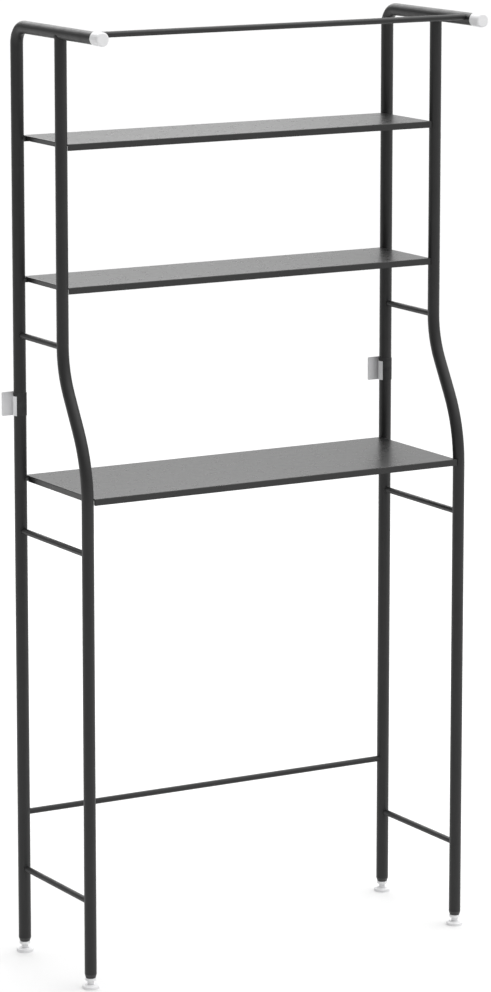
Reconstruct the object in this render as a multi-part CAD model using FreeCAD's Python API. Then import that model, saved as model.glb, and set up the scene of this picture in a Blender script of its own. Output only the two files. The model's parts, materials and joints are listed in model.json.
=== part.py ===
import FreeCAD, Part
import math
import os

# Over-the-toilet storage rack: two bent-tube side frames, two rails, three sheet-metal shelves,
# four levelling feet and two wall brackets that snap onto the rear uprights.
# Millimetres, +Z up, +Y towards the wall, +X to the right for a user who faces the rack.
# The origin is the bottom centre of the whole rack's box, on the floor.

V = FreeCAD.Vector
ALONG_X = V(1, 0, 0)
ALONG_Y = V(0, 1, 0)
UP = V(0, 0, 1)

# Side frames
FRAME_SPACING = 677.0          # between the axes of the left and right frames
REAR_TUBE_R = 10.0
FRONT_TUBE_R = 9.5
TUBE_WALL = 1.2
UPPER_DEPTH = 146.0            # rear axis to front axis, above the S-bend
LOWER_DEPTH = 224.5            # rear axis to front axis, below the S-bend
ARM_HEIGHT = 1487.5            # axis of the horizontal arms
ARM_BEND_R = 27.0
ARM_REACH = 281.0              # rear axis to the arm's open end
S_BEND_START = 771.0           # height where the front upright starts to lean back
S_BEND_ANGLE = 30.0
S_BEND_LOWER_R = 220.0
S_BEND_UPPER_R = 145.0
TUBE_END_HEIGHT = 23.0         # lower end of all four uprights

# Rungs and rails
RUNG_R = 4.75
RUNG_WALL = 1.0
UPPER_RUNG_HEIGHT = 1003.5
MIDDLE_RUNG_HEIGHT = 691.0
LOWER_RUNG_HEIGHT = 138.5
BACK_RAIL_HEIGHT = 230.5
TOP_RAIL_REACH = 242.3         # rear axis to the top rail
TOP_RAIL_RISE = 3.5            # top rail above the arm axis

# Shelves
SHEET = 0.8
SHEET_BEND_R = 1.6
LIP = 10.4                     # front and back lips
SMALL_END_LIP = 7.6            # end lips of the two narrow shelves
LARGE_END_LIP = 9.6            # end lips of the deep shelf
SHELF_END_INSET = 8.3          # frame axis to the outer face of an end lip
TOP_SHELF_HEIGHT = 1317.5
MIDDLE_SHELF_HEIGHT = 1096.0
BOTTOM_SHELF_HEIGHT = 779.5
SMALL_SHELF_OVERHANG = 4.5     # front edge ahead of the front tube axis
LARGE_SHELF_OVERHANG = 8.5
TUBE_NOTCH_GAP = 0.3           # between a shelf's corner and the tube it is notched for

# Shelf fixings: tabs on the tubes, studs under the shelf, nuts below the tabs
TAB_LENGTH = 24.0
TAB_WIDTH = 8.0
TAB_THICK = 2.0
TAB_HOLE_INSET = 14.0          # tube surface to stud axis
LIP_GAP = 0.9                  # between a tab and a shelf lip, more than the inside of the bend
SHELF_STUD_R = 2.0
SHELF_STUD_LENGTH = 7.0
STUD_HOLE_GAP = 0.25
SHELF_NUT_FLATS = 7.0
SHELF_NUT_THICK = 3.2
CONTACT_GAP = 0.02             # between faces that are clamped together

# Rail fixings: a nut in the upright's wall, a stud, and a threaded insert in the rail
RAIL_STUD_R = 2.0
THREAD_GAP = 0.05
ANCHOR_NUT_SIDE_GAP = 0.15     # nut's side to the rail's bore, seen along the rail
ANCHOR_NUT_R = RUNG_R - RUNG_WALL - ANCHOR_NUT_SIDE_GAP
ANCHOR_NUT_LENGTH = 8.0
ANCHOR_NUT_RECESS = 0.8        # nut's face below the upright's surface, at its middle
RAIL_INSERT_LENGTH = 18.0
RAIL_STUD_REACH = 14.0         # into the rail, measured from the upright's surface

# Arm caps
CAP_LENGTH = 24.0
CAP_WALL = 0.75
CAP_END_THICK = 2.5
CAP_EDGE_R = 3.0
SLIP_GAP = 0.05

# Levelling feet
INSERT_DEPTH = 26.0            # insert inside the upright
INSERT_NOSE_HEIGHT = 17.0      # lower face of the insert's tapered nose
INSERT_NOSE_R = 7.8
STUD_R = 4.0
STUD_TOP = 44.0
STUD_HEAD_R = 5.6
STUD_HEAD_THICK = 1.2
STUD_BOTTOM = 1.6
FOOT_NUT_FLATS = 13.0
FOOT_NUT_THICK = 6.5
FOOT_NUT_HEIGHT = 33.0
COLLAR_R = 8.5
COLLAR_HEIGHT = 4.2
COLLAR_CHAMFER = 0.5
COLLAR_GAP = 0.3               # collar to insert, with the foot screwed right in
HUB_R = 5.2
PAD_R = 13.4
PAD_THICK = 5.0
PAD_EDGE_R = 2.0
PAD_BOSS_R = 9.0
PAD_BOSS_TOP_R = 8.0
PAD_BOSS_HEIGHT = 6.2
PAD_RUN_GAP = 0.1
HUB_PAD_GAP = 0.3

# Wall brackets: a rubber liner on the tube, and a plate whose jaw snaps over the liner
BRACKET_HEIGHT = 893.5         # middle of the wall plate
LINER_WALL = 0.7
LINER_LENGTH = 36.0
BRACKET_RUN_GAP = 0.05
JAW_WALL = 0.7
JAW_WRAP = 216.0               # degrees of the tube that the jaw goes round, from its inner side
JAW_LENGTH = 31.0
JAW_DROP = 2.5                 # middle of the jaw below the middle of the plate
PLATE_THICK = 1.2
PLATE_LENGTH = 38.0
PLATE_REACH = 26.3             # tube axis to the plate's free edge
PLATE_CORNER_R = 1.5
TAPE_THICK = 1.5
TAPE_MARGIN = 1.5

# Places that follow from the sizes above
LINER_INNER_R = REAR_TUBE_R + BRACKET_RUN_GAP
LINER_OUTER_R = LINER_INNER_R + LINER_WALL
JAW_INNER_R = LINER_OUTER_R + BRACKET_RUN_GAP
JAW_OUTER_R = JAW_INNER_R + JAW_WALL
PLATE_FRONT = JAW_OUTER_R - JAW_WALL / 2
PLATE_BACK = PLATE_FRONT + PLATE_THICK
TAPE_BACK = PLATE_BACK + TAPE_THICK
CAP_FRONT = ARM_REACH + CAP_END_THICK

LEFT_REACH = max(PLATE_REACH, PAD_R)
RIGHT_REACH = max(JAW_OUTER_R, PAD_R)
WALL_REACH = max(TAPE_BACK, PAD_R)
LEFT_X = (LEFT_REACH - RIGHT_REACH - FRAME_SPACING) / 2
RIGHT_X = LEFT_X + FRAME_SPACING
REAR_Y = (CAP_FRONT - WALL_REACH) / 2
UPPER_FRONT_Y = REAR_Y - UPPER_DEPTH
LOWER_FRONT_Y = REAR_Y - LOWER_DEPTH

SIDES = {"left": (LEFT_X, 1), "right": (RIGHT_X, -1)}    # axis place and inward direction


def cylinder(centre, direction, radius, length):
    return Part.makeCylinder(radius, length, centre, direction)


def ring(centre, direction, outer, inner, length):
    return cylinder(centre, direction, outer, length).cut(cylinder(centre, direction, inner, length))


def box(low, high):
    size = high - low
    return Part.makeBox(size.x, size.y, size.z, low)


def hexagon(centre, flats, thick):
    corner = flats / math.sqrt(3)
    angles = [math.radians(60 * k) for k in range(7)]
    points = [centre + V(corner * math.cos(a), corner * math.sin(a), 0) for a in angles]
    return Part.Face(Part.makePolygon(points)).extrude(V(0, 0, thick))


def turned(centre, outline):
    """A solid of revolution about the vertical through centre, from (radius, height) points."""
    points = [V(centre.x + r, centre.y, h) for r, h in outline]
    face = Part.Face(Part.makePolygon(points + [points[0]]))
    return face.revolve(V(centre.x, centre.y, 0), UP, 360)


def swept(edges, start, direction, radius):
    profile = Part.Wire([Part.Circle(start, direction, radius).toShape()])
    return Part.Wire(edges).makePipeShell([profile], True, False)


def arc_edge(first, middle, last):
    return Part.Arc(first, middle, last).toShape()


def line_edge(first, last):
    return Part.LineSegment(first, last).toShape()


# ---- side frames ----

def rear_path(x):
    top = V(x, REAR_Y, ARM_HEIGHT)
    centre = top + V(0, -ARM_BEND_R, -ARM_BEND_R)
    half = ARM_BEND_R * math.sqrt(0.5)
    bottom = V(x, REAR_Y, TUBE_END_HEIGHT)
    bend_low = centre + V(0, ARM_BEND_R, 0)
    bend_high = centre + V(0, 0, ARM_BEND_R)
    tip = V(x, REAR_Y - ARM_REACH, ARM_HEIGHT)
    edges = [line_edge(bottom, bend_low),
             arc_edge(bend_low, centre + V(0, half, half), bend_high),
             line_edge(bend_high, tip)]
    return edges, bottom


def front_path(x):
    turn = math.radians(S_BEND_ANGLE)
    shift = LOWER_DEPTH - UPPER_DEPTH
    arc_shift = (S_BEND_LOWER_R + S_BEND_UPPER_R) * (1 - math.cos(turn))
    lean = (shift - arc_shift) / math.sin(turn)
    bottom = V(x, LOWER_FRONT_Y, TUBE_END_HEIGHT)
    bend_start = V(x, LOWER_FRONT_Y, S_BEND_START)

    def on_lower(angle):
        return bend_start + V(0, S_BEND_LOWER_R * (1 - math.cos(angle)), S_BEND_LOWER_R * math.sin(angle))

    lean_start = on_lower(turn)
    lean_end = lean_start + V(0, lean * math.sin(turn), lean * math.cos(turn))
    bend_end = lean_end + V(0, S_BEND_UPPER_R * (1 - math.cos(turn)), S_BEND_UPPER_R * math.sin(turn))

    def on_upper(angle):
        return bend_end - V(0, S_BEND_UPPER_R * (1 - math.cos(angle)), S_BEND_UPPER_R * math.sin(angle))

    top = V(x, UPPER_FRONT_Y, ARM_HEIGHT)
    edges = [line_edge(bottom, bend_start),
             arc_edge(bend_start, on_lower(turn / 2), lean_start),
             line_edge(lean_start, lean_end),
             arc_edge(lean_end, on_upper(turn / 2), bend_end),
             line_edge(bend_end, top)]
    return edges, bottom


def rear_envelope(x, extra=0.0):
    edges, bottom = rear_path(x)
    return swept(edges, bottom, UP, REAR_TUBE_R + extra)


def front_envelope(x, extra=0.0):
    edges, bottom = front_path(x)
    return swept(edges, bottom, UP, FRONT_TUBE_R + extra)


def arm_envelope(x):
    return cylinder(V(x, REAR_Y, ARM_HEIGHT), -ALONG_Y, REAR_TUBE_R, ARM_REACH)


def rear_upright(x, inward):
    edges, bottom = rear_path(x)
    tube = rear_envelope(x).cut(swept(edges, bottom, UP, REAR_TUBE_R - TUBE_WALL))
    for place in (back_rail_end(x), top_rail_end(x)):
        hole_length = REAR_TUBE_R + TUBE_WALL
        tube = tube.cut(cylinder(place, ALONG_X * inward, ANCHOR_NUT_R + THREAD_GAP, hole_length))
    return tube


def front_upright(x):
    edges, bottom = front_path(x)
    tube = front_envelope(x).cut(swept(edges, bottom, UP, FRONT_TUBE_R - TUBE_WALL))
    return tube.cut(arm_envelope(x))


def rung(x, height):
    start = V(x, REAR_Y, height)
    bar = ring(start, -ALONG_Y, RUNG_R, RUNG_R - RUNG_WALL, LOWER_DEPTH)
    pieces = bar.cut(rear_envelope(x)).cut(front_envelope(x)).Solids
    return max(pieces, key=lambda piece: piece.Volume)


# ---- rails ----

def back_rail_end(x):
    return V(x, REAR_Y, BACK_RAIL_HEIGHT)


def top_rail_end(x):
    return V(x, REAR_Y - TOP_RAIL_REACH, ARM_HEIGHT + TOP_RAIL_RISE)


def rail(end_place):
    bar = ring(end_place(LEFT_X), ALONG_X, RUNG_R, RUNG_R - RUNG_WALL, FRAME_SPACING)
    return bar.cut(rear_envelope(LEFT_X)).cut(rear_envelope(RIGHT_X))


def tube_surface(rise):
    """How far a rear tube's surface stands from its axis, at this height above the axis."""
    return math.sqrt(REAR_TUBE_R ** 2 - rise ** 2)


def rail_fixings(end_place, rise):
    surface = tube_surface(rise)
    nut_start = surface - ANCHOR_NUT_RECESS - ANCHOR_NUT_LENGTH
    nuts = []
    studs = []
    inserts = []
    for x, inward in SIDES.values():
        axis = ALONG_X * inward
        end = end_place(x)
        nuts.append(ring(end + axis * nut_start, axis, ANCHOR_NUT_R, RAIL_STUD_R + THREAD_GAP,
                         ANCHOR_NUT_LENGTH))
        stud_length = RAIL_STUD_REACH + surface - nut_start
        studs.append(cylinder(end + axis * nut_start, axis, RAIL_STUD_R, stud_length))
        insert_start = end + axis * (REAR_TUBE_R + CONTACT_GAP)
        inserts.append(ring(insert_start, axis, RUNG_R - RUNG_WALL - THREAD_GAP,
                            RAIL_STUD_R + THREAD_GAP, RAIL_INSERT_LENGTH))
    return nuts, studs, inserts


# ---- shelves ----

def rear_tab_y():
    return REAR_Y - SHEET - LIP_GAP - TAB_WIDTH / 2


def front_tab_y(front_axis_y, front_y):
    """On the front tube's axis, unless the shelf's front lip is too close to it."""
    return max(front_axis_y, front_y + SHEET + LIP_GAP + TAB_WIDTH / 2)


def shelf_pan(top, front_axis_y, front_y, end_lip):
    low = V(LEFT_X + SHELF_END_INSET, front_y, top - LIP)
    high = V(RIGHT_X - SHELF_END_INSET, REAR_Y, top)
    outer = box(low, high)
    outer_edges = [e for e in outer.Edges if e.BoundBox.ZMax > top - LIP + CONTACT_GAP]
    outer = outer.makeFillet(SHEET_BEND_R, outer_edges)
    inner = box(low + V(SHEET, SHEET, -LIP), high - V(SHEET, SHEET, SHEET))
    inner_edges = [e for e in inner.Edges if e.BoundBox.ZMax > top - LIP]
    inner = inner.makeFillet(SHEET_BEND_R - SHEET, inner_edges)
    pan = outer.cut(inner)
    for x, inward in SIDES.values():
        near = x + inward * (SHELF_END_INSET - SHEET)
        far = x + inward * (SHELF_END_INSET + SHEET)
        trim_low = V(min(near, far), front_y + SHEET_BEND_R, top - LIP - SHEET)
        trim_high = V(max(near, far), REAR_Y - SHEET_BEND_R, top - end_lip)
        pan = pan.cut(box(trim_low, trim_high))
        bend_end = x + inward * (SHELF_END_INSET + SHEET_BEND_R + TUBE_NOTCH_GAP)
        for y in (rear_tab_y(), front_tab_y(front_axis_y, front_y)):
            half = TAB_WIDTH / 2 + TUBE_NOTCH_GAP
            pan = pan.cut(box(V(min(near, bend_end), y - half, top - LIP - SHEET),
                              V(max(near, bend_end), y + half, top - SHEET)))
        pan = pan.cut(rear_envelope(x, TUBE_NOTCH_GAP)).cut(front_envelope(x, TUBE_NOTCH_GAP))
    return max(pan.Solids, key=lambda piece: piece.Volume)


def shelf_corners(front_axis_y, front_y):
    """The four places where a shelf is held: frame, tab centre line, tube radius and envelope."""
    corners = []
    for x, inward in SIDES.values():
        corners.append((x, inward, rear_tab_y(), REAR_TUBE_R, rear_envelope(x)))
        corners.append((x, inward, front_tab_y(front_axis_y, front_y), FRONT_TUBE_R, front_envelope(x)))
    return corners


def shelf_fixings(top, front_axis_y, front_y):
    tab_top = top - SHEET - CONTACT_GAP
    tabs = []
    studs = []
    nuts = []
    for x, inward, y, tube_r, envelope in shelf_corners(front_axis_y, front_y):
        near = x
        far = x + inward * (tube_r + TAB_LENGTH)
        hole = V(x + inward * (tube_r + TAB_HOLE_INSET), y, 0)
        tab = box(V(min(near, far), y - TAB_WIDTH / 2, tab_top - TAB_THICK),
                  V(max(near, far), y + TAB_WIDTH / 2, tab_top))
        tab = tab.cut(envelope)
        tab = tab.cut(cylinder(hole, UP, SHELF_STUD_R + STUD_HOLE_GAP, top))
        tabs.append(max(tab.Solids, key=lambda piece: abs(piece.CenterOfMass.x - x)))
        stud_top = hole + V(0, 0, top - SHEET)
        studs.append(cylinder(stud_top, -UP, SHELF_STUD_R, SHELF_STUD_LENGTH))
        nut_base = hole + V(0, 0, tab_top - TAB_THICK - CONTACT_GAP - SHELF_NUT_THICK)
        nut = hexagon(nut_base, SHELF_NUT_FLATS, SHELF_NUT_THICK)
        nuts.append(nut.cut(cylinder(nut_base, UP, SHELF_STUD_R + THREAD_GAP, SHELF_NUT_THICK)))
    return tabs, studs, nuts


# ---- arm caps ----

def arm_cap(x):
    outer_r = REAR_TUBE_R + SLIP_GAP + CAP_WALL
    front = V(x, REAR_Y - CAP_FRONT, ARM_HEIGHT)
    body = cylinder(front, ALONG_Y, outer_r, CAP_LENGTH)
    front_edges = [e for e in body.Edges if e.BoundBox.YMax < front.y + CAP_WALL]
    body = body.makeFillet(CAP_EDGE_R, front_edges)
    pocket = cylinder(front + V(0, CAP_END_THICK, 0), ALONG_Y, REAR_TUBE_R + SLIP_GAP, CAP_LENGTH)
    return body.cut(pocket)


# ---- levelling feet ----

def foot_pieces(x, y, tube_r):
    axis = V(x, y, 0)
    bore = tube_r - TUBE_WALL - SLIP_GAP
    nut_top = FOOT_NUT_HEIGHT + FOOT_NUT_THICK
    insert = turned(axis, [(STUD_R + THREAD_GAP, INSERT_NOSE_HEIGHT),
                           (INSERT_NOSE_R, INSERT_NOSE_HEIGHT),
                           (tube_r, TUBE_END_HEIGHT - CONTACT_GAP),
                           (bore, TUBE_END_HEIGHT - CONTACT_GAP),
                           (bore, TUBE_END_HEIGHT + INSERT_DEPTH),
                           (STUD_R + THREAD_GAP, TUBE_END_HEIGHT + INSERT_DEPTH)])
    nut_base = axis + V(0, 0, FOOT_NUT_HEIGHT)
    pocket = hexagon(nut_base, FOOT_NUT_FLATS + THREAD_GAP, FOOT_NUT_THICK)
    insert = insert.cut(pocket)
    nut = hexagon(nut_base + V(0, 0, CONTACT_GAP), FOOT_NUT_FLATS, FOOT_NUT_THICK - 2 * CONTACT_GAP)
    nut = nut.cut(cylinder(axis, UP, STUD_R + THREAD_GAP, nut_top))
    head_top = STUD_BOTTOM + STUD_HEAD_THICK
    stud = turned(axis, [(0, STUD_BOTTOM), (STUD_HEAD_R, STUD_BOTTOM), (STUD_HEAD_R, head_top),
                         (STUD_R, head_top), (STUD_R, STUD_TOP), (0, STUD_TOP)])
    collar_top = INSERT_NOSE_HEIGHT - COLLAR_GAP
    hub_base = PAD_BOSS_HEIGHT + HUB_PAD_GAP
    collar_inner = STUD_R + THREAD_GAP
    collar_base = collar_top - COLLAR_HEIGHT
    face_r = COLLAR_R - COLLAR_CHAMFER
    collar = turned(axis, [(collar_inner, hub_base), (HUB_R, hub_base), (HUB_R, collar_base),
                           (face_r, collar_base), (COLLAR_R, collar_base + COLLAR_CHAMFER),
                           (COLLAR_R, collar_top - COLLAR_CHAMFER), (face_r, collar_top),
                           (collar_inner, collar_top)])
    pad = turned(axis, [(0, 0), (PAD_R, 0), (PAD_R, PAD_THICK), (PAD_BOSS_R, PAD_THICK),
                        (PAD_BOSS_TOP_R, PAD_BOSS_HEIGHT), (0, PAD_BOSS_HEIGHT)])
    rim = [e for e in pad.Edges if abs(e.BoundBox.ZMin - PAD_THICK) < CONTACT_GAP
           and e.BoundBox.XLength > 2 * PAD_BOSS_R + PAD_EDGE_R]
    pad = pad.makeFillet(PAD_EDGE_R, rim)
    socket_top = head_top + PAD_RUN_GAP
    pad = pad.cut(cylinder(axis + V(0, 0, STUD_BOTTOM - PAD_RUN_GAP), UP, STUD_HEAD_R + PAD_RUN_GAP,
                           socket_top - STUD_BOTTOM + PAD_RUN_GAP))
    pad = pad.cut(cylinder(axis + V(0, 0, STUD_BOTTOM), UP, STUD_R + PAD_RUN_GAP, PAD_BOSS_HEIGHT))
    return insert, nut, stud, collar, pad


# ---- wall brackets ----

def bracket_pieces(x):
    axis = V(x, REAR_Y, 0)
    liner_base = axis + V(0, 0, BRACKET_HEIGHT - LINER_LENGTH / 2)
    liner = ring(liner_base, UP, LINER_OUTER_R, LINER_INNER_R, LINER_LENGTH)

    plate_low = BRACKET_HEIGHT - PLATE_LENGTH / 2
    plate_high = BRACKET_HEIGHT + PLATE_LENGTH / 2
    free_x = x - PLATE_REACH
    held_x = x + JAW_OUTER_R
    plate = box(V(free_x, REAR_Y + PLATE_FRONT, plate_low), V(held_x, REAR_Y + PLATE_BACK, plate_high))
    corners = [e for e in plate.Edges if e.BoundBox.YLength > PLATE_THICK / 2]
    plate = plate.makeFillet(PLATE_CORNER_R, corners)
    jaw_base = axis + V(0, 0, BRACKET_HEIGHT - JAW_DROP - JAW_LENGTH / 2)
    jaw = Part.makeCylinder(JAW_OUTER_R, JAW_LENGTH, jaw_base, UP, JAW_WRAP)
    jaw = jaw.cut(cylinder(jaw_base, UP, JAW_INNER_R, JAW_LENGTH))
    plate = plate.fuse(jaw).removeSplitter()

    tape = box(V(free_x + TAPE_MARGIN, REAR_Y + PLATE_BACK, plate_low + TAPE_MARGIN),
               V(held_x - TAPE_MARGIN, REAR_Y + TAPE_BACK, plate_high - TAPE_MARGIN))
    return liner, plate, tape


# ---- all the nodes ----

def build_nodes():
    nodes = {}
    rungs = {"upper": UPPER_RUNG_HEIGHT, "middle": MIDDLE_RUNG_HEIGHT, "lower": LOWER_RUNG_HEIGHT}
    for side, (x, inward) in SIDES.items():
        nodes[side + "_rear_upright"] = [rear_upright(x, inward)]
        nodes[side + "_front_upright"] = [front_upright(x)]
        for level, height in rungs.items():
            nodes[side + "_" + level + "_rung"] = [rung(x, height)]
        nodes[side + "_arm_cap"] = [arm_cap(x)]

        names = ("bracket_liner", "wall_plate", "wall_tape")
        for name, shape in zip(names, bracket_pieces(x)):
            nodes[side + "_" + name] = [shape]

    for name, place, rise in (("back_rail", back_rail_end, 0.0), ("top_rail", top_rail_end, TOP_RAIL_RISE)):
        nodes[name] = [rail(place)]
        nuts, studs, inserts = rail_fixings(place, rise)
        nodes[name + "_anchor_nuts"] = nuts
        nodes[name + "_studs"] = studs
        nodes[name + "_inserts"] = inserts

    small = (UPPER_FRONT_Y, SMALL_SHELF_OVERHANG, SMALL_END_LIP)
    large = (LOWER_FRONT_Y, LARGE_SHELF_OVERHANG, LARGE_END_LIP)
    shelves = {"top_shelf": (TOP_SHELF_HEIGHT, small),
               "middle_shelf": (MIDDLE_SHELF_HEIGHT, small),
               "bottom_shelf": (BOTTOM_SHELF_HEIGHT, large)}
    for name, (top, (front_axis_y, overhang, end_lip)) in shelves.items():
        front_y = front_axis_y - overhang
        nodes[name] = [shelf_pan(top, front_axis_y, front_y, end_lip)]
        tabs, studs, nuts = shelf_fixings(top, front_axis_y, front_y)
        nodes[name + "_tabs"] = tabs
        nodes[name + "_studs"] = studs
        nodes[name + "_nuts"] = nuts

    foot_nuts = []
    for side, (x, inward) in SIDES.items():
        for row, y, tube_r in (("rear", REAR_Y, REAR_TUBE_R), ("front", LOWER_FRONT_Y, FRONT_TUBE_R)):
            insert, nut, stud, collar, pad = foot_pieces(x, y, tube_r)
            foot = side + "_" + row + "_foot_"
            nodes[foot + "insert"] = [insert]
            nodes[foot + "stud"] = [stud]
            nodes[foot + "collar"] = [collar]
            nodes[foot + "pad"] = [pad]
            foot_nuts.append(nut)
    nodes["foot_nuts"] = foot_nuts
    return nodes


def export(nodes):
    os.makedirs("parts", exist_ok=True)
    for name, solids in nodes.items():
        for shape in solids:
            if not shape.isValid() or len(shape.Solids) != 1:
                print("check", name, "valid", shape.isValid(), "solids", len(shape.Solids))
        pieces = [shape.Solids[0] for shape in solids]
        shape = pieces[0] if len(pieces) == 1 else Part.makeCompound(pieces)
        shape.exportStep("parts/" + name + ".step")
    everything = Part.makeCompound([shape for solids in nodes.values() for shape in solids])
    print(len(nodes), "nodes", everything.BoundBox)


export(build_nodes())
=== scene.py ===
import bpy
import json
import math
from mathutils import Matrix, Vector


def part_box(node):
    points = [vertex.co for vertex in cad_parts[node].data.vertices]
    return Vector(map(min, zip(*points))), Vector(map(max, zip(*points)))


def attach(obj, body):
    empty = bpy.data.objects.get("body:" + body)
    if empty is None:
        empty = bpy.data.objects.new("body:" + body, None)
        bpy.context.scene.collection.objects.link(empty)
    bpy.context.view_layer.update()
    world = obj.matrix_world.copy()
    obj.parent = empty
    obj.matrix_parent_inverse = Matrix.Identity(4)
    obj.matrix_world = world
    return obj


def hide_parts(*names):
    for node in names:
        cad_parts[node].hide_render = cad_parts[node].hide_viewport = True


# Looks for the over-the-toilet rack. Metres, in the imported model's frame.

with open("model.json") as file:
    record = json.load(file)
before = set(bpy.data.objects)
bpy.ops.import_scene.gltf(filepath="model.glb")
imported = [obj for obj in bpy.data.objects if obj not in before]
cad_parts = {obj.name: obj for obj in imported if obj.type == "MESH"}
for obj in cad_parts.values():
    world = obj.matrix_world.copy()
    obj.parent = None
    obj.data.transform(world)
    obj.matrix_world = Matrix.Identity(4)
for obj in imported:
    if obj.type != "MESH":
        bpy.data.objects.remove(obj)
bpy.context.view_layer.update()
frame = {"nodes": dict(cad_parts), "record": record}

MM = 0.001
ALONG = Vector((0.0, 1.0, 0.0))
UP = Vector((0.0, 0.0, 1.0))
SLOT_OF_NODE = {part["node"]: part["material_slot"] for part in frame["record"]["subparts"]}


def middle(node):
    low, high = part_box(node)
    return (low + high) / 2


LEFT = middle("left_rear_foot_pad")
RIGHT = middle("right_rear_foot_pad")
FRAME_MID_X = (LEFT.x + RIGHT.x) / 2
REAR_Y = LEFT.y


# ---- node helpers ----

NOISE_LOW = 0.3                 # most of a noise texture's values lie between these two
NOISE_HIGH = 0.7


class Graph:
    """A material's node tree, with one line for each kind of node that the looks share."""

    def __init__(self, name):
        self.material = bpy.data.materials.new(name)
        self.material.use_nodes = True
        self.tree = self.material.node_tree
        self.shader = self.tree.nodes["Principled BSDF"]
        self.place = self.tree.nodes.new("ShaderNodeTexCoord").outputs["Object"]

    def link(self, source, target):
        self.tree.links.new(source, target)

    def stretch(self, scale):
        mapping = self.tree.nodes.new("ShaderNodeMapping")
        mapping.inputs["Scale"].default_value = scale
        self.link(self.place, mapping.inputs["Vector"])
        return mapping.outputs["Vector"]

    def noise(self, scale, detail=3.0, place=None, roughness=0.5):
        node = self.tree.nodes.new("ShaderNodeTexNoise")
        node.inputs["Scale"].default_value = scale
        node.inputs["Detail"].default_value = detail
        node.inputs["Roughness"].default_value = roughness
        self.link(place or self.place, node.inputs["Vector"])
        return node.outputs["Fac"]

    def cells(self, scale):
        node = self.tree.nodes.new("ShaderNodeTexVoronoi")
        node.inputs["Scale"].default_value = scale
        self.link(self.place, node.inputs["Vector"])
        return node.outputs["Distance"]

    def spread(self, source, low, high, from_low=NOISE_LOW, from_high=NOISE_HIGH):
        node = self.tree.nodes.new("ShaderNodeMapRange")
        node.inputs["From Min"].default_value = from_low
        node.inputs["From Max"].default_value = from_high
        node.inputs["To Min"].default_value = low
        node.inputs["To Max"].default_value = high
        self.link(source, node.inputs["Value"])
        return node.outputs["Result"]

    def ramp(self, source, stops):
        node = self.tree.nodes.new("ShaderNodeValToRGB")
        elements = node.color_ramp.elements
        while len(elements) < len(stops):
            elements.new(0.5)
        for element, (position, colour) in zip(elements, stops):
            element.position = position
            element.color = (*colour, 1.0)
        self.link(source, node.inputs["Fac"])
        return node.outputs["Color"]

    def mottle(self, source, dark, light):
        self.colour(self.ramp(source, [(NOISE_LOW, dark), (NOISE_HIGH, light)]))

    def bump(self, source, strength, distance, normal=None):
        node = self.tree.nodes.new("ShaderNodeBump")
        node.inputs["Strength"].default_value = strength
        node.inputs["Distance"].default_value = distance
        self.link(source, node.inputs["Height"])
        if normal is not None:
            self.link(normal, node.inputs["Normal"])
        return node.outputs["Normal"]

    def colour(self, source):
        self.link(source, self.shader.inputs["Base Color"])

    def roughness(self, source):
        self.link(source, self.shader.inputs["Roughness"])

    def normal(self, source):
        self.link(source, self.shader.inputs["Normal"])

    def fixed(self, **values):
        for name, value in values.items():
            self.shader.inputs[name.replace("_", " ")].default_value = value


def grey(level):
    return (level, level, level * 1.01)


# ---- materials ----

def powder_coat(name, dark, light, rough_low, rough_high, peel, gloss):
    """Baked powder: faint clouding in the black, orange peel, and a finer pinhead texture over it."""
    g = Graph(name)
    clouds = g.noise(9.0, 4.0)
    g.mottle(clouds, grey(dark), grey(light))
    g.roughness(g.spread(g.noise(60.0, 5.0), rough_low, rough_high))
    waves = g.bump(g.noise(420.0, 2.0), peel, 0.12 * MM)
    g.normal(g.bump(g.noise(2600.0, 2.0), peel * 0.6, 0.03 * MM, waves))
    g.fixed(Specular_IOR_Level=gloss)
    return g.material


def moulded(name, dark, light, rough_low, rough_high, grain):
    """Injection-moulded plastic: slight flow shading and the fine spark-eroded grain of the tool."""
    g = Graph(name)
    flow = g.noise(38.0, 3.0, g.stretch((1.0, 1.0, 0.35)))
    g.mottle(flow, dark, light)
    g.roughness(g.spread(g.noise(240.0, 4.0), rough_low, rough_high))
    g.normal(g.bump(g.noise(3200.0, 2.0), grain, 0.04 * MM))
    return g.material


def rubber(name):
    """Dull black rubber, rough all over, with a fine pitted surface."""
    g = Graph(name)
    g.mottle(g.noise(90.0, 5.0), grey(0.016), grey(0.03))
    g.roughness(g.spread(g.noise(400.0, 3.0), 0.72, 0.9))
    g.normal(g.bump(g.noise(1900.0, 3.0), 0.3, 0.08 * MM))
    return g.material


def plate_paint(name):
    """Light grey paint on pressed steel, with rolling lines that show faintly through it."""
    g = Graph(name)
    g.mottle(g.noise(45.0, 4.0), (0.66, 0.66, 0.67), (0.72, 0.72, 0.73))
    lines = g.noise(180.0, 3.0, g.stretch((1.0, 1.0, 0.06)))
    g.roughness(g.spread(lines, 0.34, 0.5))
    g.normal(g.bump(lines, 0.15, 0.05 * MM, g.bump(g.noise(900.0, 2.0), 0.12, 0.06 * MM)))
    return g.material


def foam(name):
    """White foam tape with open pores, its colour darker in the pores: painted shade in the pore
    hollows.
    """
    g = Graph(name)
    pores_and_painted_shade = g.cells(1500.0)
    # colour darker towards each pore's middle: painted shade in the pore hollows
    g.colour(g.ramp(pores_and_painted_shade, [(0.1, (0.58, 0.58, 0.57)), (0.6, (0.76, 0.76, 0.75))]))
    g.roughness(g.spread(pores_and_painted_shade, 0.95, 0.8))
    g.normal(g.bump(pores_and_painted_shade, 0.5, 0.15 * MM))
    return g.material


def zinc(name):
    """Bright zinc plate: soft spangles in the gloss and faint drawing lines."""
    g = Graph(name)
    g.mottle(g.noise(700.0, 3.0), (0.50, 0.51, 0.53), (0.68, 0.69, 0.71))
    g.roughness(g.spread(g.cells(1100.0), 0.22, 0.42, 0.0, 0.9))
    g.normal(g.bump(g.noise(1500.0, 3.0), 0.12, 0.03 * MM))
    g.fixed(Metallic=1.0)
    return g.material


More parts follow.
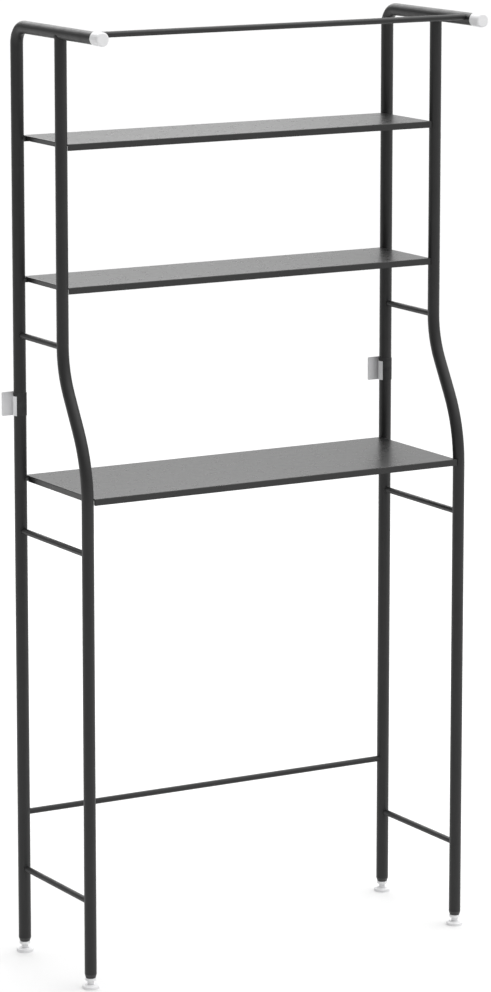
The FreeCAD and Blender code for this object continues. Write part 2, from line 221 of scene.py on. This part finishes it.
LOOKS = {
    "black_tube": powder_coat("tube_powder_coat", 0.008, 0.011, 0.40, 0.48, 0.10, 0.42),
    "black_shelf": powder_coat("shelf_powder_coat", 0.010, 0.013, 0.26, 0.32, 0.045, 0.46),
    "white_cap": moulded("cap_plastic", grey(0.66), grey(0.70), 0.30, 0.40, 0.08),
    "white_foot": moulded("foot_plastic", grey(0.70), grey(0.75), 0.34, 0.46, 0.10),
    "black_plastic": moulded("insert_plastic", grey(0.018), grey(0.026), 0.36, 0.5, 0.16),
    "black_rubber": rubber("liner_rubber"),
    "grey_plate": plate_paint("plate_paint"),
    "foam_tape": foam("tape_foam"),
    "zinc_steel": zinc("zinc_plate"),
}


def dress(piece, slot):
    piece.data.materials.clear()
    piece.data.materials.append(LOOKS[slot])


for node, obj in frame["nodes"].items():
    for material_slot in obj.material_slots:
        material_slot.material = LOOKS[SLOT_OF_NODE[node]]


# ---- pieces with more shape than the CAD carries ----

def from_rings(name, rings, closed):
    """A mesh skinned over rings of equally many points. The ends are capped, or joined if closed."""
    size = len(rings[0])
    points = [point for ring in rings for point in ring]
    count = len(rings)
    faces = []
    for row in range(count if closed else count - 1):
        here = row * size
        above = (row + 1) % count * size
        for k in range(size):
            after = (k + 1) % size
            faces.append((here + k, here + after, above + after, above + k))
    if not closed:
        faces.append(tuple(reversed(range(size))))
        faces.append(tuple(range((count - 1) * size, count * size)))
    mesh = bpy.data.meshes.new(name)
    mesh.from_pydata(points, [], faces)
    mesh.validate()
    for face in mesh.polygons:
        face.use_smooth = True
    obj = bpy.data.objects.new(name, mesh)
    bpy.context.scene.collection.objects.link(obj)
    return obj


THREAD_PITCH = 1.25 * MM
THREAD_R = 4.0 * MM
THREAD_DEPTH = 0.72 * MM
THREAD_SIDES = 36
THREAD_STEPS = 8                # rings to one turn
STUD_HEAD_THICK = 1.2 * MM
STUD_HEAD_EDGE = 0.15 * MM
STUD_POINT = 1.0 * MM           # taper at the top end


def circle(centre, radius, height):
    turns = [2 * math.pi * k / THREAD_SIDES for k in range(THREAD_SIDES)]
    return [(centre.x + radius * math.cos(a), centre.y + radius * math.sin(a), height) for a in turns]


def thread_ring(centre, height, top):
    """One ring of the screw: its radius rises and falls once a turn, so rings make a helix."""
    taper = min(1.0, max(0.0, (top - height) / STUD_POINT))
    ring = []
    for k in range(THREAD_SIDES):
        share = (height / THREAD_PITCH - k / THREAD_SIDES) % 1.0
        groove = 1.0 - abs(2.0 * share - 1.0)
        radius = THREAD_R - THREAD_DEPTH * max(groove, 1.0 - taper)
        angle = 2 * math.pi * k / THREAD_SIDES
        ring.append((centre.x + radius * math.cos(angle), centre.y + radius * math.sin(angle), height))
    return ring


def foot_stud(foot):
    """The levelling foot's screw, from its round head up through the thread."""
    node = foot + "_foot_stud"
    low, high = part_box(node)
    centre = (low + high) / 2
    head_r = (high.x - low.x) / 2
    neck = low.z + STUD_HEAD_THICK
    rings = [circle(centre, head_r - STUD_HEAD_EDGE, low.z),
             circle(centre, head_r, low.z + STUD_HEAD_EDGE),
             circle(centre, head_r, neck - STUD_HEAD_EDGE),
             circle(centre, head_r - STUD_HEAD_EDGE, neck),
             circle(centre, THREAD_R - THREAD_DEPTH, neck)]
    step = THREAD_PITCH / THREAD_STEPS
    for k in range(1, int((high.z - neck) / step)):
        rings.append(thread_ring(centre, neck + k * step, high.z))
    rings.append(thread_ring(centre, high.z, high.z))
    stud = from_rings(foot + "_threaded_stud", rings, False)
    dress(stud, "zinc_steel")
    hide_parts(node)
    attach(stud, foot + "_foot_screw")


BEAD_R = 0.95 * MM
BEAD_RIPPLE = 0.10 * MM
BEAD_RIPPLES = 16
BEAD_POINTS = 96
BEAD_SIDES = 8
BEAD_LIFT = 0.25 * MM           # bead's middle out from both tubes


def weld_bead(name, meeting, branch, host, branch_r, host_r):
    """The bead where a round branch meets a round host tube at right angles, with faint ripples."""
    across = branch.cross(host)
    rings = []
    for k in range(BEAD_POINTS):
        turn = 2 * math.pi * k / BEAD_POINTS
        outward = host * math.cos(turn) + across * math.sin(turn)
        reach = math.sqrt(host_r ** 2 - (branch_r * math.sin(turn)) ** 2)
        middle_point = meeting + outward * (branch_r + BEAD_LIFT) + branch * (reach + BEAD_LIFT)
        radius = BEAD_R + BEAD_RIPPLE * math.sin(BEAD_RIPPLES * turn)
        corners = [2 * math.pi * j / BEAD_SIDES for j in range(BEAD_SIDES)]
        rings.append([middle_point + outward * (radius * math.cos(a)) + branch * (radius * math.sin(a))
                      for a in corners])
    bead = from_rings(name, rings, True)
    dress(bead, "black_tube")
    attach(bead, "frame")


def frame_welds(side):
    """Beads at both ends of a side's three rungs, and where its front tube meets the arm."""
    rear = middle(side + "_rear_foot_insert")
    front = middle(side + "_front_foot_insert")
    rear_low, rear_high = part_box(side + "_rear_foot_insert")
    front_low, front_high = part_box(side + "_front_foot_insert")
    rear_r = (rear_high.x - rear_low.x) / 2
    front_r = (front_high.x - front_low.x) / 2
    upper_front_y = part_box(side + "_front_upright")[1].y - front_r
    for level in ("lower", "middle", "upper"):
        low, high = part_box(side + "_" + level + "_rung")
        rung_r = (high.z - low.z) / 2
        height = (high.z + low.z) / 2
        front_y = upper_front_y if level == "upper" else front.y
        name = side + "_" + level + "_rung_weld"
        weld_bead(name + "_rear", Vector((rear.x, rear.y, height)), -ALONG, UP, rung_r, rear_r)
        weld_bead(name + "_front", Vector((rear.x, front_y, height)), ALONG, UP, rung_r, front_r)
    arm_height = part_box(side + "_rear_upright")[1].z - rear_r
    meeting = Vector((rear.x, upper_front_y, arm_height))
    weld_bead(side + "_arm_weld", meeting, -UP, ALONG, front_r, rear_r)


for side in ("left", "right"):
    frame_welds(side)
    for row in ("rear", "front"):
        foot_stud(side + "_" + row)


# ---- floor, camera and light ----

FLOOR_REACH = 30.0
LENS = 153.35
SENSOR_WIDTH = 36.0
SHIFT = (0.0041, -0.0806)
CAMERA_PLACE = (-3.3206, -5.8369, 2.0422)   # from the floor point midway between the rear feet
CAMERA_TILT = 79.88                         # degrees from straight down
CAMERA_TURN = -30.108
ROOM_LIGHT = 2.2
WALL_LIGHT = (0.31, 0.31, 0.31)
WALL_TOP = 0.12                 # height in the sky, as a direction's Z, where the ceiling's light begins
CEILING_FROM = 0.6
DIM_SIDE = 0.32                 # share of the light on the rack's left, below DIM_X
DIM_X = -0.7609
PALE_X = 0.6522


def floor():
    side = FLOOR_REACH
    mesh = bpy.data.meshes.new("studio_floor")
    corners = [(-side, -side, 0), (side, -side, 0), (side, side, 0), (-side, side, 0)]
    mesh.from_pydata(corners, [], [(0, 1, 2, 3)])
    obj = bpy.data.objects.new("studio_floor", mesh)
    bpy.context.scene.collection.objects.link(obj)
    g = Graph("studio_paper")
    g.mottle(g.noise(1.5, 2.0), (0.755, 0.755, 0.755), (0.765, 0.765, 0.765))
    g.fixed(Roughness=0.9, Specular_IOR_Level=0.1)
    mesh.materials.append(g.material)
    return obj


def camera():
    """Stands to the left of and above the rack, far off, and looks slightly down at it."""
    data = bpy.data.cameras.new("view")
    data.lens = LENS
    data.sensor_width = SENSOR_WIDTH
    data.shift_x, data.shift_y = SHIFT
    data.clip_end = 200.0
    obj = bpy.data.objects.new("view", data)
    obj.location = (FRAME_MID_X + CAMERA_PLACE[0], REAR_Y + CAMERA_PLACE[1], CAMERA_PLACE[2])
    obj.rotation_euler = (math.radians(CAMERA_TILT), 0.0, math.radians(CAMERA_TURN))
    bpy.context.scene.collection.objects.link(obj)
    bpy.context.scene.camera = obj


def area_light(name, place, target, width, height, watts):
    data = bpy.data.lights.new(name, "AREA")
    data.shape = "RECTANGLE"
    data.size = width
    data.size_y = height
    data.energy = watts
    obj = bpy.data.objects.new(name, data)
    obj.location = place
    obj.rotation_euler = (Vector(target) - Vector(place)).to_track_quat("-Z", "Y").to_euler()
    bpy.context.scene.collection.objects.link(obj)


def lights():
    """A white room with a bright soft ceiling and walls that are palest to the right of the rack."""
    world = bpy.data.worlds.new("studio")
    world.use_nodes = True
    tree = world.node_tree
    background = tree.nodes["Background"]
    direction = tree.nodes.new("ShaderNodeTexCoord").outputs["Generated"]
    split = tree.nodes.new("ShaderNodeSeparateXYZ")
    tree.links.new(direction, split.inputs["Vector"])
    ceiling = tree.nodes.new("ShaderNodeValToRGB")
    ceiling.color_ramp.interpolation = "EASE"
    ceiling.color_ramp.elements[0].position = WALL_TOP
    ceiling.color_ramp.elements[0].color = (*WALL_LIGHT, 1.0)
    ceiling.color_ramp.elements[1].position = CEILING_FROM
    ceiling.color_ramp.elements[1].color = (1.0, 1.0, 1.0, 1.0)
    tree.links.new(split.outputs["Z"], ceiling.inputs["Fac"])
    side = tree.nodes.new("ShaderNodeMapRange")
    side.inputs["From Min"].default_value = DIM_X
    side.inputs["From Max"].default_value = PALE_X
    side.inputs["To Min"].default_value = DIM_SIDE
    side.inputs["To Max"].default_value = 1.0
    tree.links.new(split.outputs["X"], side.inputs["Value"])
    shade = tree.nodes.new("ShaderNodeVectorMath")
    shade.operation = "SCALE"
    tree.links.new(ceiling.outputs["Color"], shade.inputs[0])
    tree.links.new(side.outputs["Result"], shade.inputs["Scale"])
    tree.links.new(shade.outputs["Vector"], background.inputs["Color"])
    background.inputs["Strength"].default_value = ROOM_LIGHT
    bpy.context.scene.world = world
    aim = (FRAME_MID_X, 0.0, 0.8)
    area_light("overhead_softbox", (0.6, -0.2, 3.6), aim, 2.4, 2.4, 24.0)
    area_light("back_softbox", (0.9, 3.8, 3.4), (0.0, 0.0, 1.4), 3.2, 1.6, 46.0)


floor()
camera()
lights()

bpy.context.scene.view_settings.view_transform = "Standard"
